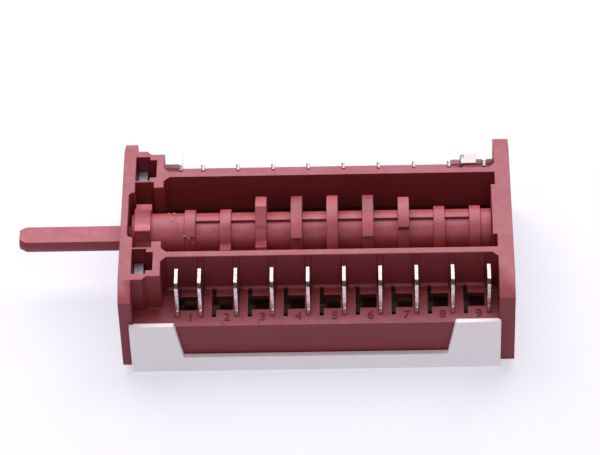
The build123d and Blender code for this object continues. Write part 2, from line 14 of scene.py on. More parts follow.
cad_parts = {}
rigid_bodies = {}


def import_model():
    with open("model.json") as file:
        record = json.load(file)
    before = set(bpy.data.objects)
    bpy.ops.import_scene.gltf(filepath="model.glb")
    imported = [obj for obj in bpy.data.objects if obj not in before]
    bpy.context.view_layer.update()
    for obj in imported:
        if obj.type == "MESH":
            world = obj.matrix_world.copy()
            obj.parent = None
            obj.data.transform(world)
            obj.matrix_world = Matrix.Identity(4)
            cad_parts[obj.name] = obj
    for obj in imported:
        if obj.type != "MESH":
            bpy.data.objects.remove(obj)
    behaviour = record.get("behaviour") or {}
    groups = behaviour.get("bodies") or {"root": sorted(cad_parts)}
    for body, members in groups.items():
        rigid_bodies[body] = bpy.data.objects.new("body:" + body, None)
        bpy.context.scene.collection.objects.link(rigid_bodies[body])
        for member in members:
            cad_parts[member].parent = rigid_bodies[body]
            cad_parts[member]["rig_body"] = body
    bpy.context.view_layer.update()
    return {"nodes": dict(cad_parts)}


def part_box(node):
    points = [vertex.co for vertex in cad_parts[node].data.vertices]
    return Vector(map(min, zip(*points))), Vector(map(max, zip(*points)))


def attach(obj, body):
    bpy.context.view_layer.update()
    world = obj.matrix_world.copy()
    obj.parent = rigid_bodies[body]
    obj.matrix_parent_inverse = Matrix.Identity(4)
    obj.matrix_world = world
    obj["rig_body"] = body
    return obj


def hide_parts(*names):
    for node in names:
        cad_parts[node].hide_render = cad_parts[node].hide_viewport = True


MM = 0.001
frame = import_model()
scene = bpy.context.scene
nodes = frame["nodes"]
drum_body = nodes["camshaft"]["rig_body"]
switch_body = nodes["housing"]["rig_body"]

# Sizes of the solids that the finishes and the small pieces follow, in millimetres.
LEVELS = 9
LEVEL_PITCH = 8.42
FOURTH_CAM = 41.5           # its middle along X
BARREL_RADIUS = 5.65
RING_RADIUS = 6.4
LOBE_RADIUS = 9.3
WALL_TOP = 8.0
LEDGE_TOP = -3.0
INNER_WIDTH = 24.9          # from the middle to the side walls' inner faces
NEAR_PLATE = 3.1            # just inside the front plate
FAR_PLATE = 88.4            # just inside the rear plate
COVER_FLOOR = -15.5         # what lies lower and looks up is the base cover's inner floor


# ---------------------------------------------------------------- building node trees
def feed(tree, socket, value):
    """Link another socket to this one, or set it to a plain value."""
    if isinstance(value, bpy.types.NodeSocket):
        tree.links.new(value, socket)
    else:
        socket.default_value = value


def math_node(tree, operation, first, second=0.0, clamp=False):
    node = tree.nodes.new("ShaderNodeMath")
    node.operation = operation
    node.use_clamp = clamp
    feed(tree, node.inputs[0], first)
    feed(tree, node.inputs[1], second)
    return node.outputs[0]


def times(tree, first, *others):
    for other in others:
        first = math_node(tree, "MULTIPLY", first, other)
    return first


def plus(tree, first, second, clamp=False):
    return math_node(tree, "ADD", first, second, clamp)


def minus(tree, first, second):
    return math_node(tree, "SUBTRACT", first, second)


def larger(tree, first, second):
    return math_node(tree, "MAXIMUM", first, second)


def mix_colours(tree, amount, first, second):
    node = tree.nodes.new("ShaderNodeMix")
    node.data_type = "RGBA"
    feed(tree, node.inputs[0], amount)
    feed(tree, node.inputs[6], first)
    feed(tree, node.inputs[7], second)
    return node.outputs[2]


def mix_numbers(tree, amount, first, second):
    """First where amount is 0, second where it is 1."""
    return plus(tree, first, times(tree, amount, minus(tree, second, first)))


def spread(tree, value, low, high, to_low=0.0, to_high=1.0):
    """Map a value from one range to another, clamped."""
    node = tree.nodes.new("ShaderNodeMapRange")
    feed(tree, node.inputs["Value"], value)
    feed(tree, node.inputs["From Min"], low)
    feed(tree, node.inputs["From Max"], high)
    feed(tree, node.inputs["To Min"], to_low)
    feed(tree, node.inputs["To Max"], to_high)
    return node.outputs["Result"]


def noise(tree, place, scale, detail, roughness):
    node = tree.nodes.new("ShaderNodeTexNoise")
    feed(tree, node.inputs["Vector"], place)
    feed(tree, node.inputs["Scale"], scale)
    feed(tree, node.inputs["Detail"], detail)
    feed(tree, node.inputs["Roughness"], roughness)
    return node.outputs["Fac"]


def stretch(tree, place, scale):
    node = tree.nodes.new("ShaderNodeMapping")
    feed(tree, node.inputs["Vector"], place)
    feed(tree, node.inputs["Scale"], scale)
    return node.outputs["Vector"]


def place_and_facing(tree):
    """Object coordinates, then their X, Y and Z, then the surface normal's X, Y and Z."""
    coordinates = tree.nodes.new("ShaderNodeTexCoord").outputs
    where = tree.nodes.new("ShaderNodeSeparateXYZ")
    facing = tree.nodes.new("ShaderNodeSeparateXYZ")
    tree.links.new(coordinates["Object"], where.inputs[0])
    tree.links.new(coordinates["Normal"], facing.inputs[0])
    return coordinates["Object"], where.outputs, facing.outputs


def shader_group(name, inputs, outputs):
    """An empty node group with named inputs, a colour or a number each, and named outputs."""
    group = bpy.data.node_groups.new(name, "ShaderNodeTree")
    for socket_name, default in inputs.items():
        kind = "Color" if isinstance(default, tuple) else "Float"
        socket = group.interface.new_socket(socket_name, in_out="INPUT", socket_type="NodeSocket" + kind)
        socket.default_value = default
    for socket_name in outputs:
        kind = "Color" if socket_name == "Colour" else "Float"
        group.interface.new_socket(socket_name, in_out="OUTPUT", socket_type="NodeSocket" + kind)
    entry = group.nodes.new("NodeGroupInput")
    leave = group.nodes.new("NodeGroupOutput")
    return group, entry.outputs, leave.inputs


# ---------------------------------------------------------------- shared effects
def moulded_grain_group():
    """Filled plastic: cloudy flow of colour, pale filler specks and a fine eroded grain."""
    group, given, result = shader_group(
        "moulded_grain",
        {
            "Colour": (0.5, 0.5, 0.5, 1),
            "Deep Colour": (0.4, 0.4, 0.4, 1),
            "Speck Colour": (0.8, 0.8, 0.8, 1),
            "Cloud Amount": 0.5,
            "Speck Amount": 0.2,
            "Smoothest": 0.4,
            "Roughest": 0.55,
            "Cloud Scale": 170.0,
            "Speck Scale": 2300.0,
            "Grain Scale": 5200.0,
            "Cloud Share": 0.6,
            "Cloud Height": 0.25,
        },
        ["Colour", "Roughness", "Height"],
    )
    place, _, _ = place_and_facing(group)
    cloud = noise(group, stretch(group, place, (0.35, 1, 1)), given["Cloud Scale"], 4, 0.6)
    fine = noise(group, place, given["Grain Scale"], 2, 0.6)
    specks = noise(group, place, given["Speck Scale"], 1, 0.4)
    cloud_mask = times(group, spread(group, cloud, 0.35, 0.68), given["Cloud Amount"])
    speck_mask = times(group, spread(group, specks, 0.63, 0.74), given["Speck Amount"])
    mottled = mix_colours(group, cloud_mask, given["Colour"], given["Deep Colour"])
    feed(group, result["Colour"], mix_colours(group, speck_mask, mottled, given["Speck Colour"]))
    cloudy = times(group, spread(group, cloud, 0.3, 0.7), given["Cloud Share"])
    grainy = times(group, fine, minus(group, 1.0, given["Cloud Share"]))
    shine = plus(group, cloudy, grainy, clamp=True)
    span = minus(group, given["Roughest"], given["Smoothest"])
    feed(group, result["Roughness"], plus(group, times(group, shine, span), given["Smoothest"]))
    feed(group, result["Height"], plus(group, times(group, cloud, given["Cloud Height"]), fine))
    return group


def settled_dust_group():
    """A thin pale film on faces that look up, broken by noise."""
    group, given, result = shader_group(
        "settled_dust",
        {
            "Colour": (0.5, 0.5, 0.5, 1),
            "Dust Colour": (0.62, 0.5, 0.48, 1),
            "Amount": 0.2,
            "Patch Scale": 420.0,
        },
        ["Colour"],
    )
    place, _, facing = place_and_facing(group)
    up = spread(group, facing["Z"], 0.3, 1.0)
    broken = spread(group, noise(group, place, given["Patch Scale"], 5, 0.65), 0.4, 0.75)
    mask = times(group, up, broken, given["Amount"])
    feed(group, result["Colour"], mix_colours(group, mask, given["Colour"], given["Dust Colour"]))
    return group


def drawn_metal_group():
    """Rolled and sheared strip: fine drawn lines, cloudy tarnish, bright sheared edges.

    Painted shade: rolled faces, which look along X, bevels and tops are painted darker than the
    sheared edges. Everything below the shelter height gets a painted shadow, nearly black, and
    loses its metal look.
    """
    group, given, result = shader_group(
        "drawn_metal",
        {
            "Colour": (0.8, 0.8, 0.8, 1),
            "Tarnish Colour": (0.5, 0.4, 0.3, 1),
            "Dull Colour": (0.1, 0.08, 0.08, 1),
            "Dirt Colour": (0.028, 0.008, 0.007, 1),
            "Tarnish Amount": 0.3,
            "Smoothest": 0.2,
            "Roughest": 0.4,
            "Sheared Roughness": 0.0,
            "Rolled Dullness": 0.0,
            "Bevel Dullness": 0.0,
            "Top Dullness": 0.0,
            "High Top Share": 0.65,
            "Shelter Dullness": 0.0,
            "Shelter Height": 0.0,
            "Line Scale": 6500.0,
            "Cloud Scale": 1100.0,
        },
        ["Colour", "Metallic", "Roughness", "Height"],
    )
    place, where, facing = place_and_facing(group)
    lines = noise(group, stretch(group, place, (1, 1, 0.04)), given["Line Scale"], 2, 0.5)
    cloud = noise(group, place, given["Cloud Scale"], 4, 0.6)
    tarnish = times(group, spread(group, cloud, 0.42, 0.72), given["Tarnish Amount"])
    tarnished = mix_colours(group, tarnish, given["Colour"], given["Tarnish Colour"])

    # Painted shade: rolled faces, bevels and tops above the ledge are painted darker.
    flat = spread(group, math_node(group, "ABSOLUTE", facing["X"]), 0.6, 0.9)
    rolled = times(group, flat, given["Rolled Dullness"])
    lean = math_node(group, "ABSOLUTE", minus(group, facing["Z"], 0.6))
    bevel = times(group, spread(group, lean, 0.15, 0.3, 1.0, 0.0), given["Bevel Dullness"])
    looks_up = spread(group, facing["Z"], 0.85, 0.95)
    above_ledge = spread(group, where["Z"], 1.0 * MM, 2.0 * MM)
    high_top = spread(group, where["Z"], 6.0 * MM, 6.5 * MM)
    share = mix_numbers(group, high_top, 1.0, given["High Top Share"])
    top = times(group, looks_up, given["Top Dullness"], above_ledge, share)
    dull = larger(group, larger(group, rolled, bevel), top)
    dulled = mix_colours(group, dull, tarnished, given["Dull Colour"])

    # Painted shadow: below the shelter height the strip is painted nearly black and loses its metal look.
    depth = minus(group, given["Shelter Height"], where["Z"])
    shelter = times(group, spread(group, depth, -0.6 * MM, 0.6 * MM), given["Shelter Dullness"])
    feed(group, result["Colour"], mix_colours(group, shelter, dulled, given["Dirt Colour"]))
    feed(group, result["Metallic"], minus(group, 1.0, shelter))

    span = minus(group, given["Roughest"], given["Smoothest"])
    level = times(group, plus(group, times(group, lines, 0.5), times(group, cloud, 0.5)), span)
    sheared = times(group, minus(group, 1.0, flat), given["Sheared Roughness"])
    feed(group, result["Roughness"], plus(group, plus(group, level, given["Smoothest"]), sheared))
    feed(group, result["Height"], lines)
    return group


def rubbed_drum_group():
    """Painted light and shade on the cam drum: even lobes paler in front and darker on top, odd ones a
    little paler on top; high flanks painted paler, low flanks painted darker.

    Angles on the drum are in radians from +Y towards +Z, so that pi / 2 is its top.
    """
    group, given, result = shader_group(
        "rubbed_drum",
        {
            "Colour": (0.5, 0.5, 0.5, 1),
            "Rubbed Colour": (0.7, 0.5, 0.5, 1),
            "Dull Colour": (0.3, 0.1, 0.1, 1),
            "Rubbed Amount": 0.8,
            "Dull Amount": 0.9,
            "Odd Amount": 0.15,
            "Ring Radius": RING_RADIUS * MM,
            "Lobe Radius": LOBE_RADIUS * MM,
            "Cam Place": FOURTH_CAM * MM,
            "Cam Pitch": LEVEL_PITCH * MM,
        },
        ["Colour"],
    )
    place, where, _ = place_and_facing(group)
    square = plus(group, times(group, where["Y"], where["Y"]), times(group, where["Z"], where["Z"]))
    radius = math_node(group, "SQRT", square)
    angle = math_node(group, "ARCTAN2", where["Z"], where["Y"])

    under_rim = minus(group, given["Lobe Radius"], radius)
    over_ring = minus(group, radius, given["Ring Radius"])
    rim = spread(group, under_rim, 0.1 * MM, 0.2 * MM, 1.0, 0.0)
    flank = times(group, spread(group, over_ring, 0.1 * MM, 0.3 * MM), minus(group, 1.0, rim))
    low = spread(group, angle, 2.25, 2.45)
    low_flank = times(group, flank, low)
    high_flank = times(group, flank, minus(group, 1.0, low))

    cams_away = math_node(group, "DIVIDE", minus(group, where["X"], given["Cam Place"]), given["Cam Pitch"])
    even = spread(group, math_node(group, "COSINE", times(group, cams_away, math.pi)), -0.1, 0.1)
    odd = minus(group, 1.0, even)
    in_front = times(group, spread(group, angle, 1.72, 1.95), spread(group, angle, 2.4, 2.5, 1.0, 0.0))
    on_top = spread(group, angle, 1.55, 2.05, 1.0, 0.0)
    # Painted light and shade: paler rims and high flanks, darker even tops and low flanks.
    pale_rim = plus(group, times(group, even, in_front), times(group, odd, on_top, given["Odd Amount"]))
    broken = spread(group, noise(group, place, 700.0, 4, 0.6), 0.2, 0.7, 0.6, 1.0)
    paler = times(group, plus(group, times(group, rim, pale_rim), high_flank), broken)
    duller = larger(group, times(group, rim, even, on_top, given["Dull Amount"]), low_flank)
    dulled = mix_colours(group, duller, given["Colour"], given["Dull Colour"])
    rubbed = times(group, paler, given["Rubbed Amount"])
    feed(group, result["Colour"], mix_colours(group, rubbed, dulled, given["Rubbed Colour"]))
    return group


def blackened_floor_group():
    """Painted shadow on what lies low and looks up; painted shade on high tops and on faces that look back.
    """
    group, given, result = shader_group(
        "blackened_floor",
        {
            "Colour": (0.8, 0.8, 0.8, 1),
            "Dust Colour": (0.042, 0.012, 0.011, 1),
            "Aged Colour": (0.6, 0.55, 0.55, 1),
            "Floor Height": COVER_FLOOR * MM,
            "Top Amount": 0.4,
            "Back Amount": 0.9,
        },
        ["Colour"],
    )
    place, where, facing = place_and_facing(group)
    # Painted shade: high tops and faces that look back are painted a little darker.
    up = spread(group, facing["Z"], 0.5, 0.95)
    high = spread(group, where["Z"], -12.0 * MM, -10.0 * MM)
    top = times(group, up, high, given["Top Amount"])
    back = times(group, spread(group, facing["Y"], 0.5, 0.95), given["Back Amount"])
    aged = mix_colours(group, larger(group, top, back), given["Colour"], given["Aged Colour"])
    # Painted shadow: what lies low and looks up, the cover's inner floor, is painted dark.
    low = spread(group, minus(group, given["Floor Height"], where["Z"]), 0.0, 0.4 * MM)
    broken = spread(group, noise(group, place, 300.0, 5, 0.6), 0.3, 0.6, 0.85, 1.0)
    soot = times(group, up, low, broken)
    feed(group, result["Colour"], mix_colours(group, soot, aged, given["Dust Colour"]))
    return group


def sooty_inside_group():
    """Painted shadow on the housing's inner faces, from just under the ledges down."""
    group, given, result = shader_group(
        "sooty_inside",
        {
            "Colour": (0.5, 0.5, 0.5, 1),
            "Soot Colour": (0.02, 0.01, 0.01, 1),
            "Soot Height": (LEDGE_TOP - 0.1) * MM,
            "Inner Width": INNER_WIDTH * MM,
            "Near Plate": NEAR_PLATE * MM,
            "Far Plate": FAR_PLATE * MM,
        },
        ["Colour"],
    )
    _, where, _ = place_and_facing(group)
    depth = spread(group, minus(group, given["Soot Height"], where["Z"]), 0.0, 0.4 * MM)
    sideways = math_node(group, "ABSOLUTE", where["Y"])
    inside = math_node(group, "LESS_THAN", sideways, given["Inner Width"])
    past_near = math_node(group, "GREATER_THAN", where["X"], given["Near Plate"])
    before_far = math_node(group, "LESS_THAN", where["X"], given["Far Plate"])
    # Painted shadow: inner faces under the ledges, between the plates, are painted dark.
    soot = times(group, depth, inside, past_near, before_far)
    feed(group, result["Colour"], mix_colours(group, soot, given["Colour"], given["Soot Colour"]))
    return group


moulded_grain = moulded_grain_group()
settled_dust = settled_dust_group()
drawn_metal = drawn_metal_group()
rubbed_drum = rubbed_drum_group()
blackened_floor = blackened_floor_group()
sooty_inside = sooty_inside_group()


# ---------------------------------------------------------------- materials
WHITE = (1, 1, 1)
LILAC = (0.77, 0.77, 1.0)
RED = (0.225, 0.0285, 0.031)
RED_DEEP = (0.19, 0.022, 0.024)
RED_SPECK = (0.3, 0.08, 0.09)
GRAIN_DEPTH = 0.04 * MM
LINE_DEPTH = 0.02 * MM
LINE_STRENGTH = 0.15
DIRT_GLOSS = 0.08           # gloss left on metal where the painted shadow has taken its metal look


def blank_material(name):
    material = bpy.data.materials.new(name)
    material.use_nodes = True
    tree = material.node_tree
    return material, tree, tree.nodes["Principled BSDF"]


def place_effect(tree, effect, **values):
    """One use of an effect, with the values that differ from its own; a plain colour gets its alpha."""
    node = tree.nodes.new("ShaderNodeGroup")
    node.node_tree = effect
    for name, value in values.items():
        socket = node.inputs[name.replace("_", " ").title()]
        socket.default_value = (*value, 1) if isinstance(value, tuple) else value
    return node


def bump(tree, height, strength, depth):
    node = tree.nodes.new("ShaderNodeBump")
    feed(tree, node.inputs["Strength"], strength)
    feed(tree, node.inputs["Distance"], depth)
    feed(tree, node.inputs["Height"], height)
    return node.outputs["Normal"]


def plastic(name, grain=0.25, dust=0.0, gloss=0.4, sheen=WHITE, **grained_values):
    """Moulded plastic with its grain and a film of dust."""
    material, tree, shader = blank_material(name)
    grained = place_effect(tree, moulded_grain, **grained_values)
    dusty = place_effect(tree, settled_dust, amount=dust)
    feed(tree, dusty.inputs["Colour"], grained.outputs["Colour"])
    feed(tree, shader.inputs["Base Color"], dusty.outputs["Colour"])
    feed(tree, shader.inputs["Roughness"], grained.outputs["Roughness"])
    feed(tree, shader.inputs["Normal"], bump(tree, grained.outputs["Height"], grain, GRAIN_DEPTH))
    shader.inputs["Specular IOR Level"].default_value = gloss
    shader.inputs["Specular Tint"].default_value = (*sheen, 1)
    return material


def add_effect(material, effect, **values):
    """Put one more colour effect between a material's colour and its shader."""
    tree = material.node_tree
    target = tree.nodes["Principled BSDF"].inputs["Base Color"]
    node = place_effect(tree, effect, **values)
    feed(tree, node.inputs["Colour"], target.links[0].from_socket)
    feed(tree, target, node.outputs["Colour"])


def metal(name, **drawn_values):
    """Strip or turned metal with drawn lines, some tarnish, and painted shade and shadow if it has them."""
    material, tree, shader = blank_material(name)
    drawn = place_effect(tree, drawn_metal, **drawn_values)
    feed(tree, shader.inputs["Base Color"], drawn.outputs["Colour"])
    feed(tree, shader.inputs["Roughness"], drawn.outputs["Roughness"])
    feed(tree, shader.inputs["Normal"], bump(tree, drawn.outputs["Height"], LINE_STRENGTH, LINE_DEPTH))
    dirty_places = "shelter_dullness" in drawn_values
    feed(tree, shader.inputs["Metallic"], drawn.outputs["Metallic"] if dirty_places else 1.0)
    shader.inputs["Specular IOR Level"].default_value = DIRT_GLOSS
    return material


housing_red = plastic(
    "housing_red",
    colour=RED,
    deep_colour=RED_DEEP,
    speck_colour=RED_SPECK,
    cloud_amount=0.4,
    speck_amount=0.12,
    smoothest=0.42,
    roughest=0.52,
    dust=0.06,
    gloss=0.44,
    sheen=LILAC,
)
drum_red = plastic(
    "drum_red",
    colour=(0.262, 0.034, 0.037),
    deep_colour=RED_DEEP,
    speck_colour=RED_SPECK,
    cloud_amount=0.35,
    speck_amount=0.2,
    smoothest=0.4,
    roughest=0.52,
    dust=0.08,
    gloss=0.42,
    sheen=LILAC,
)
chipped_red = plastic(
    "chipped_red",
    colour=(0.45, 0.15, 0.16),
    deep_colour=(0.36, 0.1, 0.11),
    speck_colour=(0.6, 0.3, 0.28),
    cloud_amount=0.4,
    speck_amount=0.3,
    smoothest=0.5,
    roughest=0.6,
)
number_red = plastic(
    "number_red",
    colour=(0.15, 0.006, 0.011),
    deep_colour=(0.11, 0.004, 0.008),
    speck_colour=(0.2, 0.015, 0.02),
    cloud_amount=0.3,
    speck_amount=0.1,
    smoothest=0.45,
    roughest=0.55,
    gloss=0.2,
)
base_cream = plastic(
    "base_cream",
    colour=(0.95, 0.88, 0.92),
    deep_colour=(0.9, 0.82, 0.85),
    speck_colour=(0.97, 0.92, 0.94),
    cloud_amount=0.4,
    speck_amount=0.15,
    smoothest=0.45,
    roughest=0.6,
    grain=0.2,
)
# Painted shadow on the housing's inner faces under the ledges.
add_effect(housing_red, sooty_inside, soot_colour=(0.09, 0.017, 0.016))
# Painted light and shade on the drum's lobes and flanks.
add_effect(drum_red, rubbed_drum, rubbed_colour=(0.42, 0.085, 0.1), dull_colour=(0.17, 0.02, 0.024))
# Painted shade on the cream's tops and backs, and a painted shadow on its inner floor.
add_effect(base_cream, blackened_floor, aged_colour=(0.6, 0.53, 0.55), top_amount=0.45, back_amount=1.0)

# Painted shadow below the ledge: there the strips are painted nearly black and lose their metal look.
SHELTERED = {
    "shelter_dullness": 0.97,
    "shelter_height": (LEDGE_TOP - 0.6) * MM,
    "sheared_roughness": 0.18,
}
tinned_strip = metal(
    "tinned_strip",
    colour=(0.76, 0.66, 0.65),
    tarnish_colour=(0.3, 0.18, 0.16),
    tarnish_amount=0.75,
    smoothest=0.1,
    roughest=0.22,
    dull_colour=(0.03, 0.023, 0.021),
    rolled_dullness=0.5,
    bevel_dullness=0.95,
    top_dullness=1.0,
    **SHELTERED,
)
# Painted light: the rear terminals get a paler, less shaded copy of the tinned strip.
far_strip = metal(
    "far_strip",
    colour=(0.8, 0.73, 0.74),
    tarnish_colour=(0.6, 0.5, 0.5),
    tarnish_amount=0.4,
    smoothest=0.1,
    roughest=0.22,
    dull_colour=(0.2, 0.14, 0.14),
    rolled_dullness=0.35,
    bevel_dullness=0.1,
    top_dullness=0.8,
    **SHELTERED,
)
bridge_strip = metal(
    "bridge_strip",
    colour=(0.62, 0.54, 0.55),
    tarnish_colour=(0.4, 0.32, 0.32),
    tarnish_amount=0.4,
    smoothest=0.15,
    roughest=0.3,
    dull_colour=(0.1, 0.07, 0.07),
    rolled_dullness=0.3,
    bevel_dullness=0.5,
    top_dullness=0.75,
    **SHELTERED,
)
bronze_strip = metal(
    "bronze_strip",
    colour=(0.3, 0.16, 0.09),
    tarnish_colour=(0.18, 0.1, 0.06),
    tarnish_amount=0.4,
    smoothest=0.3,
    roughest=0.5,
    **SHELTERED,
)
nut_zinc = metal(
    "nut_zinc",
    colour=(0.25, 0.21, 0.26),
    tarnish_colour=(0.12, 0.09, 0.11),
    tarnish_amount=0.6,
    smoothest=0.4,
    roughest=0.6,
)
rivet_brass = metal(
    "rivet_brass",
    colour=(0.78, 0.6, 0.33),
    tarnish_colour=(0.45, 0.32, 0.2),
    tarnish_amount=0.3,
    smoothest=0.2,
    roughest=0.4,
)
silver_button = metal(
    "silver_button",
    colour=(0.86, 0.85, 0.83),
    tarnish_colour=(0.5, 0.46, 0.42),
    tarnish_amount=0.25,
    smoothest=0.18,
    roughest=0.35,
)
spring_steel = metal(
    "spring_steel",
    colour=(0.55, 0.55, 0.56),
    tarnish_colour=(0.3, 0.27, 0.25),
    tarnish_amount=0.3,
    smoothest=0.2,
    roughest=0.4,
)

# The finish of each CAD node, by how its name starts; the first row that fits holds.
FINISHES = (
    ("housing", housing_red),
    ("camshaft", drum_red),
    ("base_cover", base_cream),
    ("screw_nuts", nut_zinc),
    ("detent_spring", spring_steel),
    ("terminal_rear", far_strip),
    ("bus_bar_rear", bridge_strip),
    ("terminal", tinned_strip),
    ("bus_bar", tinned_strip),
    ("blade_rivets", rivet_brass),
    ("blade_buttons", silver_button),
    ("bus_buttons", silver_button),
    ("blade", bronze_strip),
)
for name, node in nodes.items():
    finish = next(finish for start, finish in FINISHES if name.startswith(start))
    node.data.materials.clear()
    node.data.materials.append(finish)


# ---------------------------------------------------------------- rounded copies of CAD nodes
WELD = 0.002 * MM                  # points nearer than this are one
FLAT_ANGLE = math.radians(0.6)     # faces within this of each other are one
EDGE_ANGLE = math.radians(30)      # edges sharper than this are rounded


def add_object(name, data):
    thing = bpy.data.objects.new(name, data)
    scene.collection.objects.link(thing)
    return thing


def add_piece(name, mesh, body):
    """A finished mesh as a piece of the switch that moves with one of its bodies."""
    mesh.name = name
    piece = add_object(name, mesh)
    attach(piece, body)
    return piece


def take_mesh(holder):
    """What the holder's modifiers make, as a plain mesh; the holder itself goes."""
    mesh = bpy.data.meshes.new_from_object(holder.evaluated_get(bpy.context.evaluated_depsgraph_get()))
    bpy.data.objects.remove(holder)
    return mesh


def pull_back(mesh, original, reach, low, high):
    """Bring the few corner points that rounding throws off the surface back onto it, and into its box."""
    faces = [polygon.vertices for polygon in original.polygons]
    surface = BVHTree.FromPolygons([vertex.co for vertex in original.vertices], faces)
    for vertex in mesh.vertices:
        nearest, _, _, gap = surface.find_nearest(vertex.co)
        if gap > reach:
            vertex.co = nearest
        for axis in range(3):
            vertex.co[axis] = min(max(vertex.co[axis], low[axis]), high[axis])


def add_rounded_copy(node_name, width, segments=2):
    """Stand in for a CAD node with a copy whose faces are cut afresh and whose edges are rounded."""
    node = nodes[node_name]
    mesh = node.data.copy()
    work = bmesh.new()
    work.from_mesh(mesh)
    bmesh.ops.remove_doubles(work, verts=work.verts, dist=WELD)
    bmesh.ops.dissolve_limit(work, angle_limit=FLAT_ANGLE, verts=work.verts, edges=work.edges)
    bmesh.ops.triangulate(work, faces=work.faces)
    work.to_mesh(mesh)
    work.free()
    for polygon in mesh.polygons:
        polygon.use_smooth = True
    holder = add_object(node_name + "_sharp", mesh)
    rounding = holder.modifiers.new("edge_rounding", "BEVEL")
    rounding.width = width * MM
    rounding.segments = segments
    rounding.limit_method = "ANGLE"
    rounding.angle_limit = EDGE_ANGLE
    rounding.use_clamp_overlap = False
    rounding.harden_normals = True
    shading = holder.modifiers.new("flat_faces", "WEIGHTED_NORMAL")
    shading.mode = "FACE_AREA"
    shading.weight = 100
    shading.keep_sharp = True
    finished = take_mesh(holder)
    pull_back(finished, mesh, width / 2 * MM, *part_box(node_name))
    piece = add_piece(node_name + "_rounded", finished, node["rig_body"])
    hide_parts(node_name)


add_rounded_copy("housing", width=0.16)
add_rounded_copy("base_cover", width=0.2)
add_rounded_copy("camshaft", width=0.14)
for name in sorted(nodes):
    if name.startswith(("terminal", "bus_bar")):
        add_rounded_copy(name, width=0.12, segments=1)


# ---------------------------------------------------------------- raised level numbers on the ledge
def geometry_node(tree, kind, **sources):
    """A geometry node with its inputs fed by name."""
    node = tree.nodes.new(kind)
    for name, value in sources.items():
        feed(tree, node.inputs[name.replace("_", " ").title()], value)
    return node


def vector_math(tree, operation, first, second):
    node = tree.nodes.new("ShaderNodeVectorMath")
    node.operation = operation
    feed(tree, node.inputs[0], first)
    feed(tree, node.inputs["Scale" if operation == "SCALE" else 1], second)
    return node.outputs[0]


def join(tree, *parts):
    node = tree.nodes.new("GeometryNodeJoinGeometry")
    for part in parts:
        tree.links.new(part, node.inputs[0])
    return node.outputs[0]


NUMBER_WELD = 0.00001 * MM          # only the points of one corner are this near


def level_numbers_tree():
    """A row of raised numbers, 1 and up, each centred on its own place along the row."""
    tree = bpy.data.node_groups.new("level_numbers_row", "GeometryNodeTree")
    tree.interface.new_socket("Geometry", in_out="OUTPUT", socket_type="NodeSocketGeometry")
    for name, kind in (
        ("Levels", "Int"),
        ("First Place", "Vector"),
        ("Pitch", "Vector"),
        ("Letter Size", "Float"),
        ("Boldness", "Float"),
        ("Thickness", "Float"),
        ("Finish", "Material"),
    ):
        tree.interface.new_socket(name, in_out="INPUT", socket_type="NodeSocket" + kind)
    given = tree.nodes.new("NodeGroupInput").outputs
    repeat = tree.nodes.new("GeometryNodeRepeatInput")
    gathered = tree.nodes.new("GeometryNodeRepeatOutput")
    repeat.pair_with_output(gathered)
    feed(tree, repeat.inputs["Iterations"], given["Levels"])
    index = repeat.outputs["Iteration"]

    label = geometry_node(tree, "FunctionNodeValueToString", value=plus(tree, index, 1.0))
    letters = geometry_node(
        tree, "GeometryNodeStringToCurves", string=label.outputs[0], size=given["Letter Size"]
    )
    letters.align_x = "CENTER"
    letters.align_y = "MIDDLE"
    drawn = geometry_node(tree, "GeometryNodeRealizeInstances", geometry=letters.outputs[0])
    evened = geometry_node(tree, "GeometryNodeResampleCurve", curve=drawn.outputs[0])
    evened.mode = "EVALUATED"
    outward = tree.nodes.new("GeometryNodeInputNormal").outputs[0]
    bolder = geometry_node(
        tree,
        "GeometryNodeSetPosition",
        geometry=evened.outputs[0],
        offset=vector_math(tree, "SCALE", outward, given["Boldness"]),
    )
    face = geometry_node(tree, "GeometryNodeFillCurve", curve=bolder.outputs[0]).outputs[0]
    raised = geometry_node(
        tree, "GeometryNodeExtrudeMesh", mesh=face, offset_scale=given["Thickness"], individual=False
    )
    underside = geometry_node(tree, "GeometryNodeFlipFaces", mesh=face)
    welded = geometry_node(
        tree,
        "GeometryNodeMergeByDistance",
        geometry=join(tree, underside.outputs[0], raised.outputs["Mesh"]),
        distance=NUMBER_WELD,
    )
    step = vector_math(tree, "SCALE", given["Pitch"], index)
    placed = geometry_node(
        tree,
        "GeometryNodeTransform",
        geometry=welded.outputs[0],
        translation=vector_math(tree, "ADD", given["First Place"], step),
    )
    row = join(tree, repeat.outputs["Geometry"], placed.outputs[0])
    feed(tree, gathered.inputs["Geometry"], row)
    realised = geometry_node(tree, "GeometryNodeRealizeInstances", geometry=gathered.outputs["Geometry"])
    finished = geometry_node(
        tree, "GeometryNodeSetMaterial", geometry=realised.outputs[0], material=given["Finish"]
    )
    feed(tree, tree.nodes.new("NodeGroupOutput").inputs[0], finished.outputs[0])
    return tree


